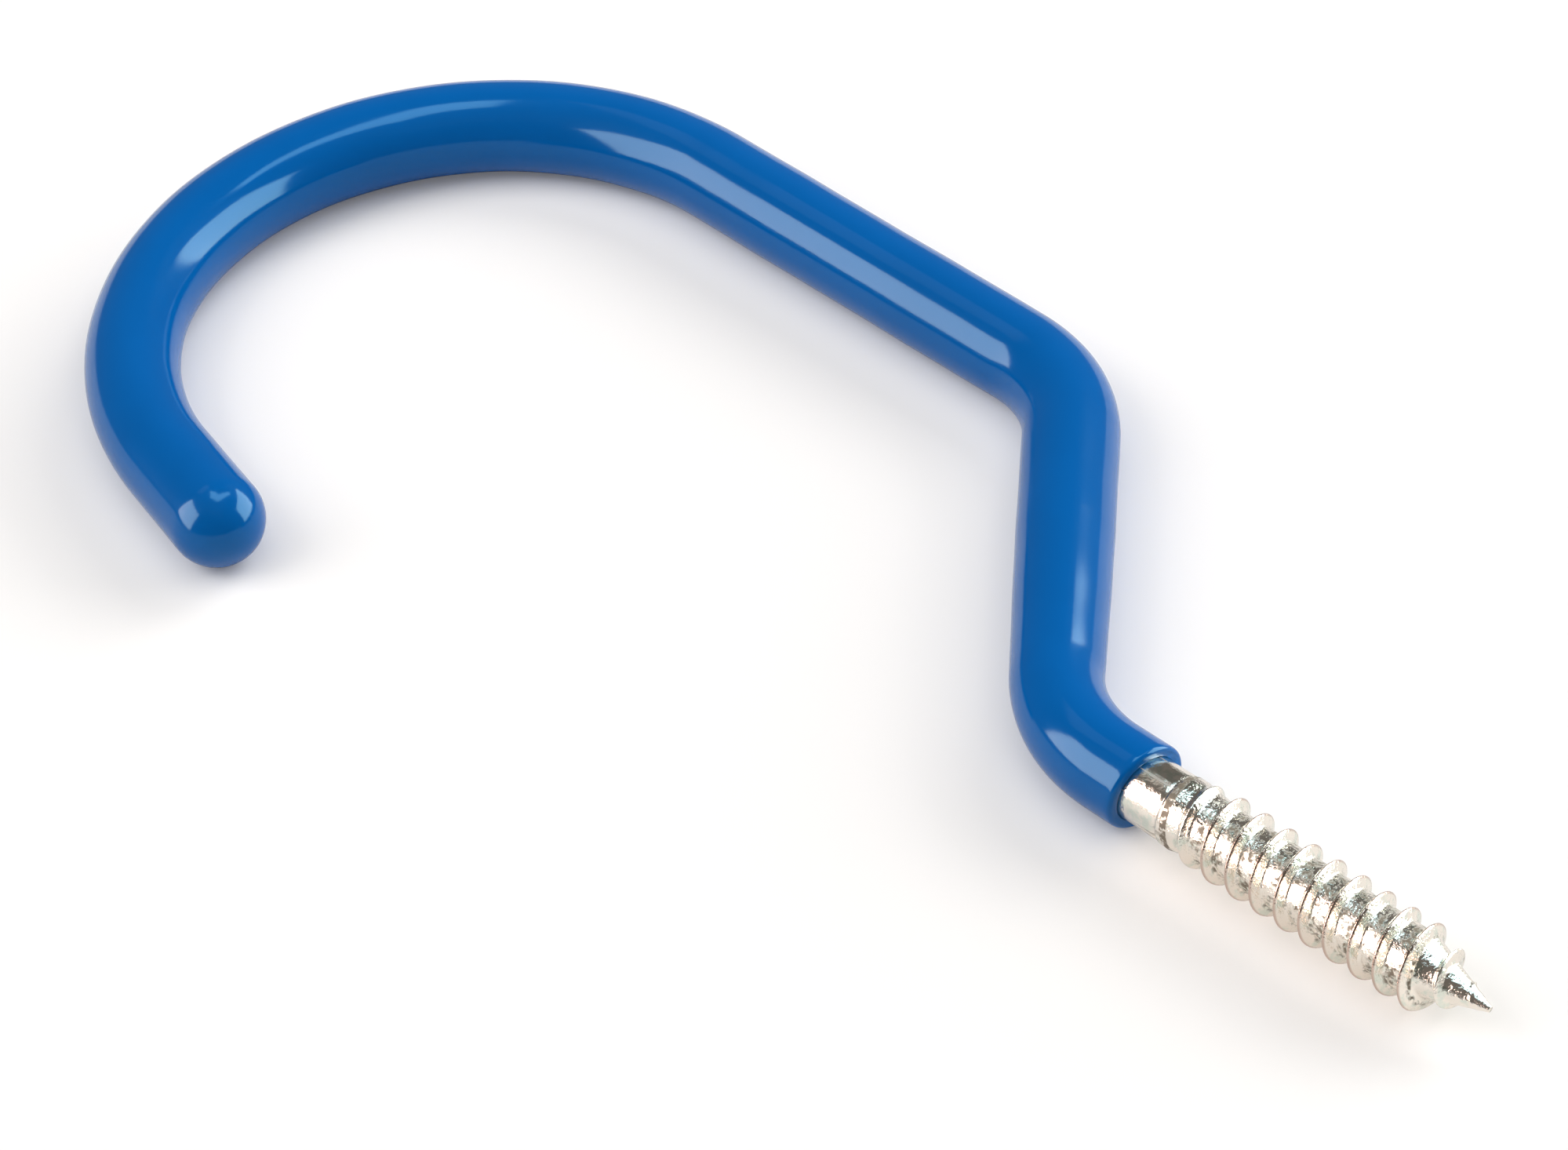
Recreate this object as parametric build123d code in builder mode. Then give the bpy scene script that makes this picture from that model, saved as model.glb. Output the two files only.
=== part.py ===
from build123d import *
import os
from math import atan2, cos, degrees, pi, radians, sin, tan

# Bicycle storage hook: one steel rod, bent into a cranked hook and rolled with a
# wood-screw thread at its front end, inside a blue vinyl sleeve.
# The hook lies on its side. X runs along the screw to its point, the bends lie in
# the XY plane and Z is up. The origin is on the screw's axis at the sleeve's mouth.
# All lengths are in millimetres and all angles in degrees.

# Rod
rod_dia = 6.6
rod_end_chamfer = 0.8

# Bends, measured along the rod's centre line
neck_length = 11.3          # mouth of the sleeve to the corner of the first bend
jog_angle = 48.5
jog_offset = 35.3           # screw's axis to the top run's axis
jog_bend_radius = 16.0
top_run = 49.1              # corner of the second bend to the start of the bowl
bowl_opening = 56.8         # clear width between the sleeve's inner sides
bowl_wrap = 167.0
tip_run = 9.9               # end of the bowl to the centre of the tip's dome

# Wood-screw end: 5/16 in, nine threads to the inch, right-handed
screw_length = 39.7         # mouth of the sleeve to the point
threads_per_inch = 9
thread_major_dia = 7.9
thread_root_dia = 5.9
ridge_base = 1.6            # width of the ridge where it meets the root
crest_flat = 0.35
ridge_sink = 0.25           # the ridge's section starts this far below the core's surface
thread_phase = 57.0         # turns the thread about the screw's axis
bare_length = 4.1           # mouth of the sleeve to the rolled band
rolled_band_dia = 6.85      # the band that the dies raise where the thread starts
rolled_band_length = 0.9
runout_length = 3.7         # end of the rolled band to the full thread
point_length = 8.0
point_tip_dia = 0.55
crest_overhang = 1.3        # the crest keeps its full diameter this far into the point
point_bare_length = 2.1     # the ridge has died away this far from the tip
ridge_trace = 0.05          # height left to the ridge where it dies away
ridge_trace_share = 0.4     # width left to it there, as a share of its full width

# Sleeve
sleeve_dia = 9.3
mouth_dia = 8.7             # the vinyl is thinner towards its mouth
mouth_taper = 18.5          # length over which it thickens, after the first bend
mouth_skew = 6.5            # the mouth was cut this far out of square
mouth_skew_turn = 210.0     # direction of that tilt about the screw, from +Y to +Z
mouth_rim_radius = 0.45
mouth_flare = 0.3
tip_wall = 3.6              # vinyl beyond the rod's end

# Sizes that follow from the ones above
thread_pitch = 25.4 / threads_per_inch
rod_radius = rod_dia / 2
root_radius = thread_root_dia / 2
crest_radius = thread_major_dia / 2
tip_radius = point_tip_dia / 2
band_radius = rolled_band_dia / 2
band_step = band_radius - rod_radius
flank_spread = (ridge_base - crest_flat) / (crest_radius - root_radius)  # widening per depth
buried_base = ridge_base + flank_spread * ridge_sink
sleeve_radius = sleeve_dia / 2
mouth_radius = mouth_dia / 2
bowl_radius = (bowl_opening + sleeve_dia) / 2
corner_setback = jog_bend_radius * tan(radians(jog_angle / 2))
upright_run = jog_offset / sin(radians(jog_angle)) - 2 * corner_setback
band_end = bare_length + rolled_band_length
full_start = band_end + runout_length
point_start = screw_length - point_length
crest_end = point_start + crest_overhang
ridge_stop = screw_length - point_bare_length
skew_reach = 2 * mouth_radius * tan(radians(mouth_skew))


def point_core(x):
    """Radius of the screw's core at x, on the cone of its point."""
    share = (x - point_start) / point_length
    return root_radius + share * (tip_radius - root_radius)


def radial_plane(origin, angle):
    """Plane through the standing screw's axis: x points outwards at this angle, y is up."""
    outwards = Vector(cos(angle), sin(angle), 0)
    return Plane(origin=origin, x_dir=outwards, z_dir=outwards.cross(Axis.Z.direction))


def ridge_angle(at):
    """Angle of the ridge's crest about the standing screw's axis, at one height, in degrees."""
    return thread_phase + 360 * at / thread_pitch


def ridge_stretch(start, end):
    """Ridge of the thread between two stations, with its start on +X at height 0.

    A station is a height, the core's radius, the crest's radius and the ridge's share
    of its full width there. The section is a trapezoid on a plane through the screw's
    axis. It changes evenly along a helix on the core's surface.
    """
    rise = end[0] - start[0]
    slope = atan2(end[1] - start[1], rise)
    with BuildPart() as ridge:
        with BuildLine() as path:
            Helix(thread_pitch / cos(slope), rise, start[1], cone_angle=degrees(slope))
        turn = 2 * pi * rise / thread_pitch
        for foot, angle, station in ((path.line @ 0, 0, start), (path.line @ 1, turn, end)):
            height = station[2] - station[1]
            flat = crest_flat * station[3]
            base = buried_base * station[3]
            with BuildSketch(radial_plane(foot, angle)):
                with BuildLine():
                    Polyline(
                        (-ridge_sink, -base / 2),
                        (height, -flat / 2),
                        (height, flat / 2),
                        (-ridge_sink, base / 2),
                        close=True,
                    )
                make_face()
        sweep(path=path.line, is_frenet=True, multisection=True)
    return ridge.part


# The rod's centre line, from the thread's rolled band to the rod's far end
with BuildLine() as rod_path:
    neck = Line((bare_length, 0), (corner_setback - neck_length, 0))
    lower_bend = JernArc(neck @ 1, neck % 1, jog_bend_radius, -jog_angle)
    upright = PolarLine(lower_bend @ 1, upright_run, direction=lower_bend % 1)
    upper_bend = JernArc(upright @ 1, upright % 1, jog_bend_radius, jog_angle)
    top = PolarLine(upper_bend @ 1, top_run - corner_setback, direction=upper_bend % 1)
    bowl = JernArc(top @ 1, top % 1, bowl_radius, bowl_wrap)
    tip = PolarLine(bowl @ 1, tip_run + sleeve_radius - tip_wall, direction=bowl % 1)

# The bent bar, before its front end is threaded
with BuildPart() as bar:
    with BuildSketch(Plane(origin=neck @ 0, z_dir=neck % 0)):
        Circle(rod_radius)
    sweep(path=rod_path.line)
    far_end = bar.faces().sort_by_distance(tip @ 1)[0]
    chamfer(far_end.edges(), length=rod_end_chamfer)

# Stations of the ridge: the end of the rolled band, the two ends of the full thread,
# the end of the full crest on the point and the place where the ridge has died away
stations = [
    (band_end, band_radius, band_radius + ridge_trace, 1),
    (full_start, root_radius, crest_radius, 1),
    (point_start, root_radius, crest_radius, 1),
    (crest_end, point_core(crest_end), crest_radius, 1),
    (ridge_stop, point_core(ridge_stop), point_core(ridge_stop) + ridge_trace, ridge_trace_share),
]

# The core's seam faces midway between the ridge's joints at the two ends of the full
# thread, so that neither joint lies across the core from it
full_turns = (point_start - full_start) / thread_pitch
seam_angle = radians(ridge_angle(full_start) + 180 * (full_turns - round(full_turns)))

# The screw, standing along Z: its turned core with the rolled band, and the ridge
with BuildPart() as screw:
    with BuildSketch(radial_plane((0, 0, 0), seam_angle)):
        with BuildLine():
            Polyline(
                (0, bare_length),
                (rod_radius, bare_length),
                (band_radius, bare_length + band_step),
                (band_radius, band_end),
                (root_radius, full_start),
                (root_radius, point_start),
                (tip_radius, screw_length),
                (0, screw_length),
                close=True,
            )
        make_face()
    revolve(axis=Axis.Z)
    for start, end in zip(stations, stations[1:]):
        with Locations((0, 0, start[0])):
            add(ridge_stretch(start, end), rotation=(0, 0, ridge_angle(start[0])))

with BuildPart() as steel_rod:
    add(bar.part)
    add(screw.part, rotation=(0, 90, 0))
steel_rod.part.label = "steel_rod"

# The sleeve's thin stretch, round the neck and the lower bend
with BuildLine() as thin_path:
    Line((skew_reach, 0), neck @ 1)
    JernArc(neck @ 1, neck % 1, jog_bend_radius, -jog_angle)

# Its full stretch, from the taper's end to the tip's dome
with BuildLine() as full_path:
    Line(upright @ (mouth_taper / upright_run), upright @ 1)
    JernArc(upright @ 1, upright % 1, jog_bend_radius, jog_angle)
    Line(top @ 0, top @ 1)
    JernArc(top @ 1, top % 1, bowl_radius, bowl_wrap)
    tip_line = PolarLine(bowl @ 1, tip_run, direction=bowl % 1)

mouth_plane = Plane(
    origin=(0, 0, 0),
    z_dir=(
        cos(radians(mouth_skew)),
        sin(radians(mouth_skew)) * cos(radians(mouth_skew_turn)),
        sin(radians(mouth_skew)) * sin(radians(mouth_skew_turn)),
    ),
)

with BuildPart() as vinyl_sleeve:
    with BuildSketch(Plane(origin=(skew_reach, 0, 0), z_dir=neck % 0)):
        Circle(mouth_radius)
    sweep(path=thin_path.line)
    with Locations(Plane(origin=upright @ 0, z_dir=upright % 0).location):
        Cone(
            bottom_radius=mouth_radius,
            top_radius=sleeve_radius,
            height=mouth_taper,
            align=(Align.CENTER, Align.CENTER, Align.MIN),
        )
    with BuildSketch(Plane(origin=full_path.line @ 0, z_dir=upright % 0)):
        Circle(sleeve_radius)
    sweep(path=full_path.line)
    with Locations(tip_line @ 1):
        Sphere(sleeve_radius)
    split(bisect_by=mouth_plane, keep=Keep.BOTTOM)
    mouth_face = vinyl_sleeve.faces().sort_by_distance((0, 0, 0))[0]
    fillet(mouth_face.edges(), radius=mouth_rim_radius)
    add(bar.part, mode=Mode.SUBTRACT)
    mouth_face = vinyl_sleeve.faces().filter_by(GeomType.PLANE).sort_by_distance((0, 0, 0))[0]
    chamfer(mouth_face.edges().sort_by(SortBy.LENGTH)[0], length=mouth_flare)
vinyl_sleeve.part.label = "vinyl_sleeve"

os.makedirs("parts", exist_ok=True)
export_step(steel_rod.part, "parts/steel_rod.step")
export_step(vinyl_sleeve.part, "parts/vinyl_sleeve.step")
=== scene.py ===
"""Looks of the bicycle storage hook: two fine meshes, their surfaces, the light and the camera.

The frame holds the hook lying on its side: X runs along the screw to its point, the bends
lie in the XY plane, Z is up and the origin is on the screw's axis at the sleeve's mouth.
Lengths are in metres and angles in radians unless a name says otherwise.
"""

from __future__ import annotations

import logging
import math
from dataclasses import dataclass, field
from enum import Enum

import bpy
import numpy as np
from mathutils import Matrix, Vector

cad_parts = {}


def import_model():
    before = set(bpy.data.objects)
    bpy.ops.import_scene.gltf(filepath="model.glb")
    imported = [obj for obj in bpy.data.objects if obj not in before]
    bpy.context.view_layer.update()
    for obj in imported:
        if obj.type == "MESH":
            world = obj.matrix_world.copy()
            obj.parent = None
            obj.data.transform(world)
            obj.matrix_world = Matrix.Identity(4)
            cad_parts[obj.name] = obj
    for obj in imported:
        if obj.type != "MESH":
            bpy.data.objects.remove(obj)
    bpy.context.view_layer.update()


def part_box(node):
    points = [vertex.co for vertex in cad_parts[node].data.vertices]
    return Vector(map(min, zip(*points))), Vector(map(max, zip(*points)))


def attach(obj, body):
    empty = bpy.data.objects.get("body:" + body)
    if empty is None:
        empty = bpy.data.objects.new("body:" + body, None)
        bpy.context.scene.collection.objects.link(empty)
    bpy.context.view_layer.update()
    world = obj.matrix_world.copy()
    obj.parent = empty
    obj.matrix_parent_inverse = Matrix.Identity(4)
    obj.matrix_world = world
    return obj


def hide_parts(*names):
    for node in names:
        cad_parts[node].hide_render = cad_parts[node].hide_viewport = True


LOG = logging.getLogger("storage_hook")
MM = 0.001
FULL_TURN = 2 * math.pi

Colour = tuple[float, float, float]
Span = tuple[float, float]
Socket = bpy.types.NodeSocket


class Slot(Enum):
    """The record's material slots."""

    STEEL = "zinc_steel"
    VINYL = "blue_vinyl"


class Turn(Enum):
    """Which way a bend turns, seen from above."""

    LEFT = 1
    RIGHT = -1


class Maths(Enum):
    """The steps of arithmetic that the materials use."""

    PRODUCT = "MULTIPLY"
    DIFFERENCE = "SUBTRACT"
    LARGER = "MAXIMUM"
    ANGLE = "ARCTAN2"


# The rod's centre line


@dataclass(frozen=True)
class Straight:
    """A straight stretch of the rod."""

    length: float


@dataclass(frozen=True)
class Bend:
    """A bend of the rod, round a circle."""

    radius: float
    angle: float
    turn: Turn

    @property
    def length(self) -> float:
        """Length of the bend along the rod's centre line."""
        return self.radius * self.angle


@dataclass(frozen=True)
class HookShape:
    """Driving sizes of the hook, as in the part's source apart from a smaller flare."""

    rod_radius: float = 3.3 * MM
    rod_end_chamfer: float = 0.8 * MM
    neck_length: float = 11.3 * MM
    jog_angle: float = math.radians(48.5)
    jog_offset: float = 35.3 * MM
    jog_bend_radius: float = 16.0 * MM
    top_run: float = 49.1 * MM
    bowl_opening: float = 56.8 * MM
    bowl_wrap: float = math.radians(167.0)
    tip_run: float = 9.9 * MM
    sleeve_radius: float = 4.65 * MM
    mouth_radius: float = 4.35 * MM
    mouth_taper: float = 18.5 * MM
    mouth_skew: float = math.radians(6.5)
    mouth_skew_turn: float = math.radians(210.0)
    mouth_rim_radius: float = 0.45 * MM
    mouth_flare: float = 0.16 * MM
    tip_wall: float = 3.6 * MM
    screw_length: float = 39.7 * MM
    thread_pitch: float = 25.4 / 9 * MM
    thread_major_radius: float = 3.95 * MM
    thread_root_radius: float = 2.95 * MM

    @property
    def setback(self) -> float:
        """Length that a jog's bend takes from the straight stretch before it."""
        return self.jog_bend_radius * math.tan(self.jog_angle / 2)

    @property
    def upright_run(self) -> float:
        """Straight stretch between the two bends of the jog."""
        return self.jog_offset / math.sin(self.jog_angle) - 2 * self.setback

    def stretches(self) -> list[Straight | Bend]:
        """Lays out the centre line.

        Returns:
            Its stretches, from the sleeve's mouth to the tip's dome.
        """
        jog = (self.jog_bend_radius, self.jog_angle)
        bowl_radius = self.bowl_opening / 2 + self.sleeve_radius
        return [
            Straight(self.neck_length - self.setback),
            Bend(*jog, Turn.RIGHT),
            Straight(self.upright_run),
            Bend(*jog, Turn.LEFT),
            Straight(self.top_run - self.setback),
            Bend(bowl_radius, self.bowl_wrap, Turn.LEFT),
            Straight(self.tip_run),
        ]


class CentreLine:
    """The rod's centre line, from the sleeve's mouth at distance 0 to the tip."""

    def __init__(self, stretches: list[Straight | Bend]) -> None:
        """Keeps the stretches and where each starts.

        Args:
            stretches: the stretches in order, the first leaving the origin along -X.
        """
        self.stretches = stretches
        self.starts = np.concatenate([[0.0], np.cumsum([s.length for s in stretches])])

    @property
    def length(self) -> float:
        """Distance from the sleeve's mouth to the end of the last stretch."""
        return float(self.starts[-1])

    def frames(self, along: np.ndarray) -> tuple[np.ndarray, np.ndarray]:
        """Places on the line.

        Args:
            along: distances from the mouth. A negative one runs out along the screw.

        Returns:
            Points, and directions to the left of travel in the plane of the bends, each
            with an x and a y per distance.
        """
        points = np.zeros(along.shape + (2,))
        heading = np.zeros(along.shape)
        corner, course = np.zeros(2), math.pi
        last = len(self.stretches) - 1
        for index, stretch in enumerate(self.stretches):
            start, stop = self.starts[index], self.starts[index + 1]
            inside = (along >= start) | (index == 0)
            inside &= (along < stop) | (index == last)
            run = along[inside] - start
            if isinstance(stretch, Straight):
                heading[inside] = course
                points[inside] = corner + run[:, None] * direction(course)
                corner = corner + stretch.length * direction(course)
            else:
                side = stretch.turn.value
                centre = corner + side * stretch.radius * direction(course + math.pi / 2)
                heading[inside] = course + side * run / stretch.radius
                away = -side * direction(heading[inside] + math.pi / 2)
                points[inside] = centre + stretch.radius * away
                course += side * stretch.angle
                corner = centre - side * stretch.radius * direction(course + math.pi / 2)
        return points, direction(heading + math.pi / 2)


def direction(angle: float | np.ndarray) -> np.ndarray:
    """Unit vectors in the XY plane at the given angles from +X."""
    return np.stack([np.cos(angle), np.sin(angle)], axis=-1)


# Meshes swept round the centre line


def swept_mesh(
    name: str, line: CentreLine, along: np.ndarray, radius: np.ndarray
) -> bpy.types.Object:
    """A closed mesh round the centre line, with a pole at each end.

    The point of row i and column j is the line's place at along[i, j], moved by
    radius[i, j] towards cos(a) * left + sin(a) * up, where a goes once round in j.

    Args:
        name: name of the new object.
        line: the centre line.
        along: distance along the line of each point, by row and column.
        radius: distance from the line of each point, by row and column.

    Returns:
        The object, linked to the scene, shaded smooth and with its faces outwards.
    """
    rows, columns = along.shape
    turn = column_angles(columns)
    points, left = line.frames(along)
    grid = np.zeros((rows, columns, 3))
    grid[..., :2] = points + (radius * np.cos(turn))[..., None] * left
    grid[..., 2] = radius * np.sin(turn)
    poles = [grid[0].mean(axis=0), grid[-1].mean(axis=0)]
    vertices = np.concatenate([grid.reshape(-1, 3), np.array(poles)])

    column = np.arange(columns)
    following = np.roll(column, -1)
    row = np.arange(rows - 1)[:, None] * columns
    quads = np.stack(
        [row + column, row + following, row + columns + following, row + columns + column],
        axis=-1,
    ).reshape(-1, 4)
    first, last = rows * columns, rows * columns + 1
    top_row = (rows - 1) * columns
    first_fan = np.stack([np.full(columns, first), following, column], axis=-1)
    last_fan = np.stack([np.full(columns, last), top_row + column, top_row + following], axis=-1)

    mesh = bpy.data.meshes.new(name)
    faces = quads.tolist() + first_fan.tolist() + last_fan.tolist()
    mesh.from_pydata(vertices.tolist(), [], faces)
    mesh.update()
    if enclosed_volume(mesh) < 0:
        mesh.flip_normals()
    mesh.shade_smooth()
    obj = bpy.data.objects.new(name, mesh)
    bpy.context.scene.collection.objects.link(obj)
    return obj


def column_angles(columns: int) -> np.ndarray:
    """Angles of a swept mesh's columns, evenly once round."""
    return np.linspace(0.0, FULL_TURN, columns, endpoint=False)


def in_columns(profile: np.ndarray, columns: int) -> np.ndarray:
    """Repeats a profile's values, one per row, in every column."""
    return np.repeat(profile[:, None], columns, axis=1)


def enclosed_volume(mesh: bpy.types.Mesh) -> float:
    """Volume inside a closed mesh: a sixth of the sum of its triangles' triple products.

    Args:
        mesh: the closed mesh.

    Returns:
        The volume, positive when the faces point outwards.
    """
    mesh.calc_loop_triangles()
    corners = np.zeros(len(mesh.loop_triangles) * 3, np.int32)
    mesh.loop_triangles.foreach_get("vertices", corners)
    places = np.zeros(len(mesh.vertices) * 3, np.float32)
    mesh.vertices.foreach_get("co", places)
    a, b, c = places.reshape(-1, 3)[corners.reshape(-1, 3)].transpose(1, 0, 2)
    return float(np.einsum("ij,ij->", a, np.cross(b, c))) / 6


def smooth_step(value: np.ndarray) -> np.ndarray:
    """Cubic ease from 0 to 1, flat at both ends."""
    share = np.clip(value, 0.0, 1.0)
    return share * share * (3 - 2 * share)


# Node trees


class Shader:
    """A node tree, with short calls to add and join nodes."""

    # Numbers of the Mix node's sockets for colours
    colours_in = (6, 7)
    colour_out = 2

    def __init__(self, tree: bpy.types.NodeTree) -> None:
        """Starts with an empty tree.

        Args:
            tree: the tree to fill.
        """
        self.tree = tree
        tree.nodes.clear()

    def add(self, kind: str, inputs: dict | None = None, **settings: object) -> bpy.types.Node:
        """Adds a node.

        Args:
            kind: the node's type, without ShaderNode in front.
            inputs: values or sockets for its inputs, by name or number.
            settings: properties of the node itself.

        Returns:
            The new node.
        """
        prefix = "" if kind.startswith("NodeGroup") else "ShaderNode"
        node = self.tree.nodes.new(prefix + kind)
        for key, value in settings.items():
            setattr(node, key, value)
        for key, value in (inputs or {}).items():
            if isinstance(value, Socket):
                self.tree.links.new(value, node.inputs[key])
            else:
                node.inputs[key].default_value = value
        return node

    def maths(self, step: Maths, first: Socket, second: Socket | float) -> Socket:
        """Joins two values by one step of arithmetic."""
        return self.add("Math", {0: first, 1: second}, operation=step.value).outputs["Value"]

    def ramp(self, value: Socket, low: float, high: float) -> Socket:
        """Maps value from the range low to high onto 0 to 1, with a soft start and stop."""
        ends = {"Value": value, "From Min": low, "From Max": high}
        return self.add("MapRange", ends, interpolation_type="SMOOTHSTEP").outputs["Result"]

    def ranged(self, value: Socket, result: Span, source: Span = (0.0, 1.0)) -> Socket:
        """Maps a value evenly onto another range, and stops at its ends.

        Args:
            value: the value.
            result: the range that it is mapped onto.
            source: the range that it comes from.

        Returns:
            The mapped value.
        """
        ends = {"Value": value, "From Min": source[0], "From Max": source[1]}
        ends |= {"To Min": result[0], "To Max": result[1]}
        return self.add("MapRange", ends).outputs["Result"]

    def mixed(self, share: Socket, first: Colour | Socket, second: Colour | Socket) -> Socket:
        """Mixes two colours.

        Args:
            share: 0 for the first colour and 1 for the second.
            first: the one colour.
            second: the other.

        Returns:
            The mixed colour.
        """
        node = self.add("Mix", {0: share}, data_type="RGBA")
        for index, colour in zip(self.colours_in, (first, second)):
            if isinstance(colour, Socket):
                self.tree.links.new(colour, node.inputs[index])
            else:
                node.inputs[index].default_value = (*colour, 1.0)
        return node.outputs[self.colour_out]

    def bump(self, height: Socket, distance: float | Socket, under: Socket | None = None) -> Socket:
        """Roughens the surface.

        Args:
            height: the relief, from 0 to 1.
            distance: how high a relief of 1 stands.
            under: the normal of another relief that this one lies on.

        Returns:
            The normal of the roughened surface.
        """
        node = self.add("Bump", {"Height": height, "Strength": 1.0, "Distance": distance})
        if under is not None:
            self.tree.links.new(under, node.inputs["Normal"])
        return node.outputs["Normal"]


def new_material(name: str) -> tuple[bpy.types.Material, Shader]:
    """Makes an empty material.

    Args:
        name: its name.

    Returns:
        The material and the shader that fills it.
    """
    material = bpy.data.materials.new(name)
    material.use_nodes = True
    return material, Shader(material.node_tree)


@dataclass(frozen=True)
class Mottling:
    """Uneven patches and fine grain, drawn over the object's own coordinates."""

    patch_scale: float
    grain_scale: float
    patch_detail: float = 4.0
    grain_detail: float = 3.0
    harshness: float = 0.6

    def group(self) -> bpy.types.NodeTree:
        """Makes the node group, or finds the one that another material has made.

        Returns:
            A group with the inputs Patch scale and Grain scale, and the outputs Patches
            and Grain, both from 0 to 1.
        """
        name = "patches_and_grain"
        found = bpy.data.node_groups.get(name)
        if found is not None:
            return found
        tree = bpy.data.node_groups.new(name, "ShaderNodeTree")
        for label in ("Patch scale", "Grain scale"):
            tree.interface.new_socket(label, in_out="INPUT", socket_type="NodeSocketFloat")
        for label in ("Patches", "Grain"):
            tree.interface.new_socket(label, in_out="OUTPUT", socket_type="NodeSocketFloat")
        shader = Shader(tree)
        scales = shader.add("NodeGroupInput").outputs
        out = shader.add("NodeGroupOutput")
        look = {"Vector": shader.add("TexCoord").outputs["Object"], "Roughness": self.harshness}
        patches = {"Scale": scales["Patch scale"], "Detail": self.patch_detail}
        grain = {"Scale": scales["Grain scale"], "Detail": self.grain_detail}
        for label, size in (("Patches", patches), ("Grain", grain)):
            noise = shader.add("TexNoise", look | size)
            tree.links.new(noise.outputs["Fac"], out.inputs[label])
        return tree

    def place(self, shader: Shader) -> tuple[Socket, Socket]:
        """Places the group in a material.

        Args:
            shader: the material's node tree.

        Returns:
            The patches and the grain.
        """
        node = shader.add("Group", node_tree=self.group())
        node.inputs["Patch scale"].default_value = self.patch_scale
        node.inputs["Grain scale"].default_value = self.grain_scale
        return node.outputs["Patches"], node.outputs["Grain"]


# The vinyl's surface


@dataclass(frozen=True)
class VinylFinish:
    """Glossy blue vinyl with a faint orange peel."""

    base: Colour = (0.0, 0.118, 0.42)
    deep: Colour = (0.0, 0.112, 0.40)
    mottling: Mottling = Mottling(patch_scale=70.0, grain_scale=5200.0)
    patch_edges: Span = (0.35, 0.65)
    roughness: Span = (0.105, 0.135)
    roughness_edges: Span = (0.3, 0.7)
    peel_depth: float = 0.0022 * MM
    specular: float = 0.36
    specular_tint: Colour = (0.50, 0.90, 1.0)


def vinyl_material(finish: VinylFinish) -> bpy.types.Material:
    """Builds the vinyl's material.

    Args:
        finish: its colours and its surface.

    Returns:
        The material.
    """
    material, shader = new_material("blue_vinyl")
    patches, peel = finish.mottling.place(shader)
    shade = shader.ramp(patches, *finish.patch_edges)
    surface = shader.add(
        "BsdfPrincipled",
        {
            "Base Color": shader.mixed(shade, finish.base, finish.deep),
            "Roughness": shader.ranged(patches, finish.roughness, finish.roughness_edges),
            "Specular IOR Level": finish.specular,
            "Specular Tint": (*finish.specular_tint, 1.0),
            "Normal": shader.bump(peel, finish.peel_depth),
        },
    )
    shader.add("OutputMaterial", {"Surface": surface.outputs["BSDF"]})
    return material


# The zinc's surface


@dataclass(frozen=True)
class ZincFinish:
    """Bright zinc plating over rolled steel, stained where the dies first bit, with painted shade
    in the thread's root.

    The bite is the stretch of the dies' strip. The margins are heights over the
    thread's root and over its crest, between which a mask rises.
    """

    bright: Colour = (0.92, 0.86, 0.77)
    tint: Colour = (0.74, 0.78, 0.69)
    # The dull colour serves the real stains and also the painted shade in the thread's root.
    dull_and_painted_shade: Colour = (0.20, 0.165, 0.12)
    worn: Colour = (0.64, 0.50, 0.42)
    roughness: Span = (0.16, 0.55)
    metal: Span = (1.0, 0.2)
    mottling: Mottling = Mottling(patch_scale=750.0, grain_scale=2100.0)
    tint_edges: Span = (0.48, 0.64)
    grain_depth: Span = (0.04 * MM, 0.10 * MM)
    dent_depth: float = 0.05 * MM
    bite: Span = (3.95 * MM, 4.7 * MM)
    bite_softness: float = 0.12 * MM
    bite_edges: Span = (0.38, 0.50)
    # These edges shape the spots of painted shade in the thread's root.
    root_patch_edges: Span = (0.44, 0.58)
    root_grain_edges: Span = (0.42, 0.56)
    ridge_margin: Span = (0.36 * MM, 0.0)
    cone_margin: Span = (-0.36 * MM, -0.12 * MM)
    crest_margin: Span = (-0.24 * MM, -0.06 * MM)
    streak_scale: float = 2200.0
    streak_detail: float = 1.0
    streak_stretch: float = 0.08
    streak_edges: Span = (0.54, 0.72)
    streak_strength: float = 0.5


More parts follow.
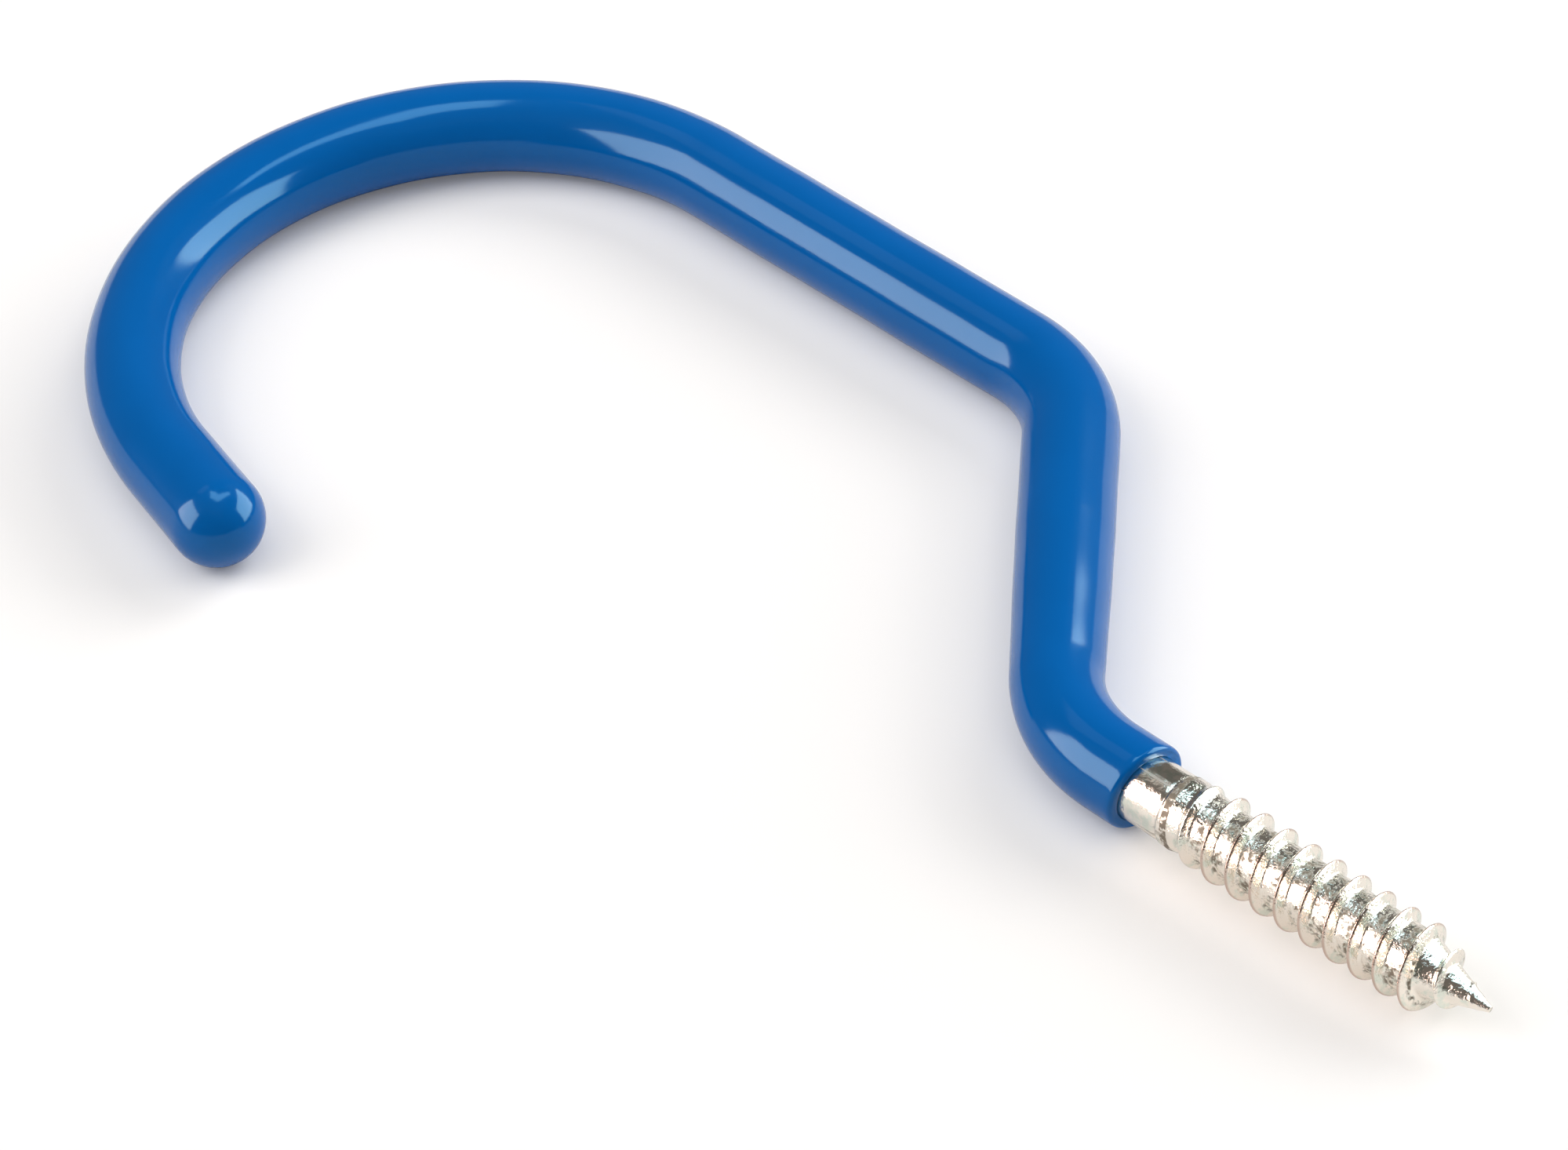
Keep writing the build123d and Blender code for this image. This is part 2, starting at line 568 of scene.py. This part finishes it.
class ZincPattern:
    """Where the zinc is stained, tinted, worn and dented, and where shade is painted dark in the
    thread's root.
    """

    def __init__(self, shader: Shader, finish: ZincFinish, shape: HookShape) -> None:
        """Reads the place on the screw: along its axis, out from it and wound round it.

        The wound distance is the one along the axis less a pitch for each turn about
        it, so it stays the same along the thread.

        Args:
            shader: the material's node tree.
            finish: the zinc's colours and its surface.
            shape: the hook's sizes, which place the stains and the wear.
        """
        self.shader, self.finish, self.shape = shader, finish, shape
        self.patches, self.grain = finish.mottling.place(shader)
        self.place = shader.add("TexCoord").outputs["Object"]
        axes = shader.add("SeparateXYZ", {"Vector": self.place}).outputs
        self.along = axes["X"]
        across = {0: self.scaled(0.0, 1.0, 1.0)}
        self.reach = shader.add("VectorMath", across, operation="LENGTH").outputs["Value"]
        around = shader.maths(Maths.ANGLE, shader.maths(Maths.PRODUCT, axes["Y"], -1.0), axes["Z"])
        advance = shader.maths(Maths.PRODUCT, around, shape.thread_pitch / FULL_TURN)
        wound = shader.maths(Maths.DIFFERENCE, self.along, advance)
        start, stop = finish.bite
        self.after_bare = shader.ramp(wound, start, start + finish.bite_softness)
        self.before_thread = shader.ramp(wound, stop + finish.bite_softness, stop)

    def scaled(self, x: float, y: float, z: float) -> Socket:
        """The place with each of its coordinates multiplied by its factor."""
        factors = {0: self.place, 1: (x, y, z)}
        return self.shader.add("VectorMath", factors, operation="MULTIPLY").outputs["Vector"]

    def product(self, *masks: Socket | float) -> Socket:
        """Multiplies masks with one another.

        Args:
            masks: the masks, of which the first is a socket.

        Returns:
            Their product.
        """
        total = masks[0]
        for mask in masks[1:]:
            total = self.shader.maths(Maths.PRODUCT, total, mask)
        return total

    def between(self, radius: float, margin: Span) -> Socket:
        """Rises from 0 to 1 over a margin, whose two heights count from the radius."""
        return self.shader.ramp(self.reach, radius + margin[0], radius + margin[1])

    def bite_stain(self) -> Socket:
        """The dull strip that winds round the screw where the dies first bit."""
        rough = self.shader.ramp(self.grain, *self.finish.bite_edges)
        return self.product(self.after_bare, self.before_thread, rough)

    def root_spots_and_painted_shade(self) -> Socket:
        """Finds the thread's root, apart from the ridge and the bright cone of the point.

        Returns:
            Dark spots there: partly the zinc's dull mottling, partly painted shade in the root.
        """
        shader, finish, root = self.shader, self.finish, self.shape.thread_root_radius
        spots = shader.ramp(self.patches, *finish.root_patch_edges)
        specks = shader.ramp(self.grain, *finish.root_grain_edges)
        under_ridge = self.between(root, finish.ridge_margin)
        outside_cone = self.between(root, finish.cone_margin)
        return self.product(spots, specks, under_ridge, outside_cone)

    def streak_stain(self) -> Socket:
        """Draws noise out along the bare stretch.

        Returns:
            The faint dull streaks.
        """
        finish = self.finish
        drawn = {"Vector": self.scaled(finish.streak_stretch, 1.0, 1.0)}
        drawn |= {"Scale": finish.streak_scale, "Detail": finish.streak_detail}
        streaks = self.shader.add("TexNoise", drawn).outputs["Fac"]
        marks = self.shader.ramp(streaks, *finish.streak_edges)
        return self.product(marks, self.before_thread, finish.streak_strength)

    def stain_and_painted_shade(self) -> Socket:
        """How dull the zinc is, from 0 to 1: the strongest of its stains and of the painted shade
        in the thread's root.
        """
        # The root's dark spots are painted shade, joined here with the real stains.
        stronger = self.shader.maths(Maths.LARGER, self.bite_stain(), self.root_spots_and_painted_shade())
        return self.shader.maths(Maths.LARGER, stronger, self.streak_stain())

    def colour(self, stain_and_painted_shade: Socket) -> Socket:
        """Colours the zinc.

        Args:
            stain_and_painted_shade: how dull it is, with the painted shade in the root.

        Returns:
            Bright and tinted patches, worn on the ridge's crest, and dull in the stains and in the
            painted shade of the thread's root.
        """
        shader, finish = self.shader, self.finish
        patchy = shader.ramp(self.patches, *finish.tint_edges)
        on_crest = self.between(self.shape.thread_major_radius, finish.crest_margin)
        tinted = shader.mixed(patchy, finish.bright, finish.tint)
        return shader.mixed(stain_and_painted_shade, shader.mixed(on_crest, tinted, finish.worn), finish.dull_and_painted_shade)

    def normal(self) -> Socket:
        """Roughens the zinc.

        Returns:
            Dents under a grain that is deeper on the thread than on the bare stretch.
        """
        depth = self.shader.ranged(self.along, self.finish.grain_depth, self.finish.bite)
        dents = self.shader.bump(self.patches, self.finish.dent_depth)
        return self.shader.bump(self.grain, depth, dents)


def zinc_material(finish: ZincFinish, shape: HookShape) -> bpy.types.Material:
    """Builds the zinc plating's material.

    Args:
        finish: its colours and its surface.
        shape: the hook's sizes, which place the stains and the wear.

    Returns:
        The material.
    """
    material, shader = new_material("zinc_plating")
    zinc = ZincPattern(shader, finish, shape)
    stain_and_painted_shade = zinc.stain_and_painted_shade()
    surface = shader.add(
        "BsdfPrincipled",
        {
            "Base Color": zinc.colour(stain_and_painted_shade),
            "Metallic": shader.ranged(stain_and_painted_shade, finish.metal),
            "Roughness": shader.ranged(stain_and_painted_shade, finish.roughness),
            "Normal": zinc.normal(),
        },
    )
    shader.add("OutputMaterial", {"Surface": surface.outputs["BSDF"]})
    return material


# The two pieces


def stand_in(obj: bpy.types.Object, node: str, material: bpy.types.Material) -> None:
    """Gives a fine mesh its surface and lets it stand for a node of the frame.

    Args:
        obj: the fine mesh.
        node: name of the node that it replaces.
        material: its surface.
    """
    obj.data.materials.append(material)
    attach(obj, "root")
    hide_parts(node)


@dataclass(frozen=True)
class Swell:
    """A slow wave of the vinyl's thickness along the hook."""

    height: float
    length: float
    start: float

    def at(self, along: np.ndarray) -> np.ndarray:
        """Height of the wave at each distance: a sine of its length and starting angle."""
        return self.height * np.sin(FULL_TURN * along / self.length + self.start)


@dataclass
class VinylSleeve:
    """The vinyl cover: a tube with a domed tip and a cut mouth."""

    shape: HookShape
    line: CentreLine
    finish: VinylFinish = VinylFinish()
    columns: int = 112
    row_step: float = 0.34 * MM
    bore_rows: int = 190
    bore_stop: float = 1.2 * MM
    end_ring: float = 1.32 * MM
    flare_lengths: tuple[float, ...] = (1.02, 0.96, 0.05, 0.0)
    flare_depths: tuple[float, ...] = (0.0, 0.03, 0.95, 1.05)
    rim_rows: int = 9
    rim_gap: float = 0.1 * MM
    dome_rows: int = 38
    skew_fade: float = 3.5 * MM
    swells: tuple[Swell, ...] = (
        Swell(height=0.015 * MM, length=23 * MM, start=0.4),
        Swell(height=0.009 * MM, length=9.7 * MM, start=2.0),
    )

    def inside(self) -> np.ndarray:
        """Draws the bore, from the rod's end to the cut face.

        The rows of the flare stand at shares of its size along the line and outwards.

        Returns:
            A distance along the line and a radius per row.
        """
        shape, rod, flare = self.shape, self.shape.rod_radius, self.shape.mouth_flare
        rod_end = self.line.length + shape.sleeve_radius - shape.tip_wall
        bore = np.linspace(rod_end, self.bore_stop, self.bore_rows)
        flare_along = flare * np.array(self.flare_lengths)
        flare_radius = rod + flare * np.array(self.flare_depths)
        face = (rod + flare + shape.mouth_radius - shape.mouth_rim_radius) / 2
        along = np.concatenate([[rod_end], bore, flare_along, [0.0]])
        wall = np.full(bore.shape, rod)
        radius = np.concatenate([[self.end_ring], wall, flare_radius, [face]])
        return np.column_stack([along, radius])

    def rim(self) -> np.ndarray:
        """Draws the rounded rim of the mouth, a quarter circle.

        Returns:
            A distance along the line and a radius per row.
        """
        rim = self.shape.mouth_rim_radius
        centre = self.shape.mouth_radius - rim
        arc = np.linspace(0.0, math.pi / 2, self.rim_rows)
        return np.column_stack([rim - rim * np.cos(arc), centre + rim * np.sin(arc)])

    def outside(self) -> np.ndarray:
        """Draws the outer wall, which thickens over the taper and swells, and the dome.

        Returns:
            A distance along the line and a radius per row.
        """
        shape, length = self.shape, self.line.length
        rim, taper_start = shape.mouth_rim_radius, float(self.line.starts[2])
        rows = int((length - rim) / self.row_step)
        wall = np.linspace(rim + self.rim_gap, length, rows)
        thick = np.clip((wall - taper_start) / shape.mouth_taper, 0.0, 1.0)
        radii = shape.mouth_radius + thick * (shape.sleeve_radius - shape.mouth_radius)
        radii += sum(swell.at(wall) for swell in self.swells)
        tip = radii[-1]
        dome = np.linspace(0.0, math.pi / 2, self.dome_rows + 2)[1:-1]
        along = np.concatenate([wall, length + tip * np.sin(dome)])
        radius = np.concatenate([radii, tip * np.cos(dome)])
        return np.column_stack([along, radius])

    def build(self) -> bpy.types.Object:
        """Builds the sleeve's mesh.

        The cut plane tilts the mouth: its points move along the line by the plane's
        distance from square at their own radius and angle, and the move fades out
        over the first few millimetres of the wall.

        Returns:
            The mesh's object.
        """
        shape = self.shape
        along, radius = np.concatenate([self.inside(), self.rim(), self.outside()]).T
        turn = column_angles(self.columns)
        # The frame's left at the mouth is -Y, because the line leaves it along -X.
        sideways = -np.cos(turn) * math.cos(shape.mouth_skew_turn)
        upwards = np.sin(turn) * math.sin(shape.mouth_skew_turn)
        tilt = math.tan(shape.mouth_skew) * (sideways + upwards)
        fade = 1 - smooth_step(along / self.skew_fade)
        shift = fade[:, None] * radius[:, None] * tilt[None, :]
        rows = in_columns(along, self.columns) + shift
        return swept_mesh("sleeve_skin", self.line, rows, in_columns(radius, self.columns))

    def dress(self, obj: bpy.types.Object) -> None:
        """Gives the mesh its vinyl and lets it stand for the sleeve's node."""
        stand_in(obj, "vinyl_sleeve", vinyl_material(self.finish))


@dataclass
class ThreadedRod:
    """The steel rod, with its rolled wood-screw thread and its gimlet point."""

    shape: HookShape
    line: CentreLine
    finish: ZincFinish = ZincFinish()
    columns: int = 144
    shank_start: float = -1.0 * MM
    shank_rows: int = 12
    thread_rows: int = 490
    thread_rows_lead: float = 0.3 * MM
    hidden_rows: int = 150
    hidden_stop: float = 2.0 * MM
    end_ring: float = 1.0 * MM
    ridge_base: float = 1.15 * MM
    crest_flat: float = 0.2 * MM
    softness: float = 0.07 * MM
    thread_phase: float = math.radians(57.0)
    bare_length: float = 4.1 * MM
    nick_depth: float = 0.05 * MM
    nick_places: tuple[float, ...] = (-0.34 * MM, -0.22 * MM, -0.06 * MM, 0.14 * MM)
    band_radius: float = 3.425 * MM
    band_length: float = 0.9 * MM
    runout_length: float = 3.7 * MM
    point_length: float = 8.0 * MM
    tip_radius: float = 0.275 * MM
    crest_overhang: float = 1.3 * MM
    point_bare_length: float = 2.1 * MM
    trace_height: float = 0.05 * MM
    trace_share: float = 0.4
    stations: dict[str, float] = field(init=False)

    def __post_init__(self) -> None:
        """Works out where the stretches of the screw meet, as distances along X."""
        band_end = self.bare_length + self.band_length
        tip = self.shape.screw_length
        self.stations = {
            "band_end": band_end,
            "full_start": band_end + self.runout_length,
            "point_start": tip - self.point_length,
            "crest_end": tip - self.point_length + self.crest_overhang,
            "ridge_stop": tip - self.point_bare_length,
            "tip": tip,
        }

    def core(self, x: np.ndarray) -> np.ndarray:
        """Radius of the screw without its ridge.

        It is drawn with straight lines: the bare stretch, a nick where the dies first bit,
        the rolled band, the run-out, the root and the cone of the point.

        Args:
            x: distances along X.

        Returns:
            The radius at each of them.
        """
        at = self.stations
        rod, nick, root = self.shape.rod_radius, self.nick_depth, self.shape.thread_root_radius
        places = [self.bare_length + place for place in self.nick_places]
        radii = [rod, rod - nick, rod - nick / 2, self.band_radius]
        places += [at["band_end"], at["full_start"], at["point_start"], at["tip"]]
        radii += [self.band_radius, root, root, self.tip_radius]
        return np.interp(x, places, radii)

    def crest(self, x: np.ndarray) -> np.ndarray:
        """Radius of the ridge's crest.

        It rises in a straight line from a trace over the band to the full thread, and
        falls in another from the point's start to a trace over the cone.

        Args:
            x: distances along X.

        Returns:
            The radius at each of them.
        """
        at = self.stations
        major, stop = self.shape.thread_major_radius, at["ridge_stop"]
        ends = self.core(np.array([at["band_end"], stop])) + self.trace_height
        places = [at["band_end"], at["full_start"], at["crest_end"], stop, at["tip"]]
        return np.interp(x, places, [ends[0], major, major, ends[1], self.tip_radius])

    def ridge(self, x: np.ndarray, turn: np.ndarray) -> np.ndarray:
        """The ridge's section.

        The distance to the nearest turn of the crest, measured along X, is compared
        with a trapezoid whose corners are rounded by the softness.

        Args:
            x: distances along X.
            turn: angles about the screw's axis.

        Returns:
            The section at each of them, 0 at the ridge's foot and 1 at its crest.
        """
        at, pitch = self.stations, self.shape.thread_pitch
        share = np.interp(x, [at["crest_end"], at["ridge_stop"]], [1.0, self.trace_share])
        crest_x = pitch * (turn - self.thread_phase) / FULL_TURN
        offset = np.abs((x - crest_x + pitch / 2) % pitch - pitch / 2)
        half_base, half_flat = self.ridge_base / 2 * share, self.crest_flat / 2 * share
        slope = (half_base - offset) / (half_base - half_flat)
        rounding = self.softness / (half_base - half_flat)
        lifted = 0.5 * (slope + np.sqrt(slope * slope + rounding * rounding))
        return lifted - 0.5 * (lifted - 1 + np.sqrt((lifted - 1) ** 2 + rounding * rounding))

    def screw_rows(self) -> np.ndarray:
        """Spaces the rows from just inside the sleeve to the point.

        Returns:
            Their distances along X, close together from the end of the bare stretch on.
        """
        fine = self.bare_length - self.thread_rows_lead
        shank = np.linspace(self.shank_start, fine, self.shank_rows, endpoint=False)
        thread = np.linspace(fine, self.stations["tip"], self.thread_rows)
        return np.concatenate([shank, thread])

    def hidden_profile(self) -> tuple[np.ndarray, np.ndarray]:
        """Draws the rod inside the sleeve, from its chamfered far end.

        Returns:
            A distance along the line and a radius per row.
        """
        shape = self.shape
        far_end = self.line.length + shape.sleeve_radius - shape.tip_wall
        bar = np.linspace(far_end - shape.rod_end_chamfer, self.hidden_stop, self.hidden_rows)
        along = np.concatenate([[far_end, far_end], bar])
        radius = np.full(along.shape, shape.rod_radius)
        radius[:2] = [self.end_ring, shape.rod_radius - shape.rod_end_chamfer]
        return along, radius

    def build(self) -> bpy.types.Object:
        """Builds the rod's mesh, from its far end inside the sleeve to its point.

        Returns:
            The mesh's object.
        """
        x = in_columns(self.screw_rows(), self.columns)
        # The frame's left is -Y here and its up is +Z, so column angle a stands at
        # the angle pi - a from +Y towards +Z.
        around = np.broadcast_to(math.pi - column_angles(self.columns), x.shape)
        core, crest = self.core(x), self.crest(x)
        height = np.where(x < self.stations["band_end"], 0.0, crest - core)
        screw = core + height * self.ridge(x, around + math.pi / 2)

        hidden_along, hidden_radius = self.hidden_profile()
        along = np.concatenate([in_columns(hidden_along, self.columns), -x])
        radii = np.concatenate([in_columns(hidden_radius, self.columns), screw])
        return swept_mesh("rod_skin", self.line, along, radii)

    def dress(self, obj: bpy.types.Object) -> None:
        """Gives the mesh its zinc and lets it stand for the rod's node."""
        stand_in(obj, "steel_rod", zinc_material(self.finish, self.shape))


# The studio


@dataclass(frozen=True)
class TableFinish:
    """The plain pale table, to which a little light is added for the camera."""

    colour: Colour = (0.885, 0.865, 0.85)
    roughness: float = 0.5
    specular: float = 0.0
    camera_lift: float = 0.13
    lift_colour: Colour = (1.0, 0.985, 0.97)


@dataclass(frozen=True)
class RoomFinish:
    """The dim warm room round the table. Its glow is stronger where it is mirrored."""

    colour: Colour = (1.0, 0.92, 0.84)
    glow: Span = (0.05, 0.13)


def table_material(finish: TableFinish) -> bpy.types.Material:
    """Builds the table's material: a matte white that the camera sees a little brighter.

    Args:
        finish: its colour and the light added for the camera.

    Returns:
        The material.
    """
    material, shader = new_material("white_table")
    rays = shader.add("LightPath").outputs
    surface = shader.add(
        "BsdfPrincipled",
        {
            "Base Color": (*finish.colour, 1.0),
            "Roughness": finish.roughness,
            "Specular IOR Level": finish.specular,
            "Emission Color": (*finish.lift_colour, 1.0),
            "Emission Strength": shader.ranged(rays["Is Camera Ray"], (0.0, finish.camera_lift)),
        },
    )
    shader.add("OutputMaterial", {"Surface": surface.outputs["BSDF"]})
    return material


def outwards(azimuth: float, elevation: float) -> Vector:
    """Unit vector at an azimuth from +X and an elevation, both in degrees."""
    flat = direction(math.radians(azimuth)) * math.cos(math.radians(elevation))
    return Vector((*flat, math.sin(math.radians(elevation))))


@dataclass(frozen=True)
class Softbox:
    """The straight-edged face of a light, which mirrors on the vinyl and the zinc.

    Its corners are azimuths and elevations in degrees, seen from the hook, in order
    round the face. A face with a radiance of 1 is as bright as white paper. The light
    that it throws on matte surfaces comes from the fills.
    """

    name: str
    corners: tuple[tuple[float, float], ...]
    distance: float
    radiance: float
    colour: Colour

    def build(self, target: Vector) -> bpy.types.Object:
        """Adds the lit face to the scene.

        Args:
            target: the point that the face is seen from.

        Returns:
            Its object.
        """
        mesh = bpy.data.meshes.new(self.name)
        places = [target + outwards(*corner) * self.distance for corner in self.corners]
        mesh.from_pydata([tuple(place) for place in places], [], [tuple(range(len(places)))])
        material, shader = new_material(self.name)
        lit = shader.add("Emission", {"Color": (*self.colour, 1.0), "Strength": self.radiance})
        shader.add("OutputMaterial", {"Surface": lit.outputs["Emission"]})
        mesh.materials.append(material)
        obj = bpy.data.objects.new(self.name, mesh)
        obj.visible_diffuse = False
        obj.visible_shadow = False
        bpy.context.scene.collection.objects.link(obj)
        return obj


@dataclass(frozen=True)
class Fill:
    """A square diffused light, which leaves no mirror image of its own."""

    name: str
    azimuth: float
    elevation: float
    distance: float
    size: float
    radiance: float

    def build(self, target: Vector) -> bpy.types.Object:
        """Adds the light to the scene.

        Args:
            target: the point that it faces.

        Returns:
            Its object.
        """
        data = bpy.data.lights.new(self.name, "AREA")
        data.size = self.size
        data.energy = self.radiance * math.pi * self.size**2
        away = outwards(self.azimuth, self.elevation)
        obj = bpy.data.objects.new(self.name, data)
        facing = away.to_track_quat("Z", "Y").to_matrix().to_4x4()
        obj.matrix_world = Matrix.Translation(target + away * self.distance) @ facing
        obj.visible_glossy = False
        bpy.context.scene.collection.objects.link(obj)
        return obj


@dataclass(frozen=True)
class CameraFit:
    """The photo's camera, as fitted to the hook's outline."""

    azimuth: float = math.radians(48.7032)
    elevation: float = math.radians(41.7703)
    roll: float = math.radians(-4.3747)
    place: tuple[float, float, float] = (0.259399, -0.268340, 0.360696)
    lens_mm: float = 134.8707
    sensor_mm: float = 36.0
    nearest: float = 0.01
    farthest: float = 20.0

    def build(self) -> bpy.types.Object:
        """Adds the camera to the scene and makes it the active one.

        Returns:
            Its object.
        """
        data = bpy.data.cameras.new("photo_camera")
        data.lens = self.lens_mm
        data.sensor_width = self.sensor_mm
        data.sensor_fit = "HORIZONTAL"
        data.clip_start = self.nearest
        data.clip_end = self.farthest
        sine, cosine = math.sin(self.azimuth), math.cos(self.azimuth)
        flat = math.cos(self.elevation)
        back = Vector((sine * flat, -cosine * flat, math.sin(self.elevation)))
        level = Vector((cosine, sine, 0.0))
        rise = back.cross(level)
        right = math.cos(self.roll) * level + math.sin(self.roll) * rise
        up = math.cos(self.roll) * rise - math.sin(self.roll) * level
        turned = Matrix((right, up, back)).transposed().to_4x4()
        obj = bpy.data.objects.new("photo_camera", data)
        obj.matrix_world = Matrix.Translation(Vector(self.place)) @ turned
        bpy.context.scene.collection.objects.link(obj)
        bpy.context.scene.camera = obj
        return obj


@dataclass
class Studio:
    """The table, the lights, the camera and the room."""

    floor_height: float
    target: Vector = field(default_factory=lambda: Vector((-0.04, 0.0, 0.0)))
    table_half_size: float = 0.62

    def softboxes(self) -> list[Softbox]:
        """Places the faces that mirror on the hook.

        Returns:
            A softbox on either side of the camera, a lamp overhead and a pale upper wall.
        """
        return [
            Softbox(
                "right_softbox",
                corners=((29.6, 2.0), (30.4, 38.9), (99.6, 37.1), (72.6, -4.8)),
                distance=0.42,
                radiance=7.8,
                colour=(0.9, 1.0, 1.0),
            ),
            Softbox(
                "left_softbox",
                corners=((-146.0, 8.0), (-146.0, 43.0), (-92.0, 40.0), (-101.0, 2.0)),
                distance=1.6,
                radiance=8.8,
                colour=(1.0, 0.80, 0.745),
            ),
            Softbox(
                "ceiling_lamp",
                corners=(
                    (87.0, 55.0),
                    (74.0, 54.0),
                    (0.0, 77.0),
                    (-135.0, 81.5),
                    (163.0, 69.0),
                    (137.0, 74.0),
                    (94.0, 77.0),
                ),
                distance=1.2,
                radiance=5.6,
                colour=(0.64, 0.88, 1.0),
            ),
            Softbox(
                "upper_wall",
                corners=((158.0, 49.0), (158.0, 61.0), (195.0, 61.0), (195.0, 49.0)),
                distance=1.3,
                radiance=0.6,
                colour=(1.0, 0.94, 0.88),
            ),
        ]

    def fills(self) -> list[Fill]:
        """Places the diffused lights that shade the hook and throw its soft shadow.

        Returns:
            Two on the right, one on the left and one overhead.
        """
        return [
            Fill("right_fill", azimuth=66.0, elevation=13.0, distance=1.2, size=1.1, radiance=3.3),
            Fill("side_fill", azimuth=92.0, elevation=38.0, distance=1.6, size=0.8, radiance=3.9),
            Fill("left_fill", azimuth=-128.0, elevation=42.0, distance=1.6, size=1.1, radiance=3.1),
            Fill("top_fill", azimuth=-60.0, elevation=80.0, distance=1.5, size=1.8, radiance=1.3),
        ]

    def build_table(self, finish: TableFinish) -> bpy.types.Object:
        """Adds the table under the hook.

        Args:
            finish: the table's surface.

        Returns:
            Its object.
        """
        half = self.table_half_size
        corners = [(-half, -half), (half, -half), (half, half), (-half, half)]
        mesh = bpy.data.meshes.new("table")
        mesh.from_pydata([(x, y, self.floor_height) for x, y in corners], [], [(0, 1, 2, 3)])
        mesh.materials.append(table_material(finish))
        table = bpy.data.objects.new("table", mesh)
        bpy.context.scene.collection.objects.link(table)
        return table

    def build_room(self, finish: RoomFinish) -> bpy.types.World:
        """Sets the room that lights and mirrors from all sides.

        Args:
            finish: its colour and its glow.

        Returns:
            The scene's world.
        """
        world = bpy.data.worlds.new("studio_room")
        world.use_nodes = True
        shader = Shader(world.node_tree)
        rays = shader.add("LightPath").outputs
        glow = shader.ranged(rays["Is Glossy Ray"], finish.glow)
        room = shader.add("Background", {"Color": (*finish.colour, 1.0), "Strength": glow})
        shader.add("OutputWorld", {"Surface": room.outputs["Background"]})
        bpy.context.scene.world = world
        return world

    def build(self) -> None:
        """Adds the whole studio to the scene."""
        self.build_table(TableFinish())
        for light in [*self.softboxes(), *self.fills()]:
            light.build(self.target)
        CameraFit().build()
        self.build_room(RoomFinish())


def main() -> None:
    """Loads the frame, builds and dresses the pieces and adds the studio."""
    logging.basicConfig(level=logging.INFO)
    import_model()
    scene = bpy.context.scene
    scene.view_settings.view_transform = "Standard"

    shape = HookShape()
    line = CentreLine(shape.stretches())
    for piece in (VinylSleeve(shape, line), ThreadedRod(shape, line)):
        obj = piece.build()
        piece.dress(obj)
        LOG.info("%s: %d faces", obj.name, len(obj.data.polygons))
    studio = Studio(floor_height=float(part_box("vinyl_sleeve")[0].z))
    studio.build()
    LOG.info("studio: table at a height of %.5f m", studio.floor_height)


if __name__ == "__main__":
    main()
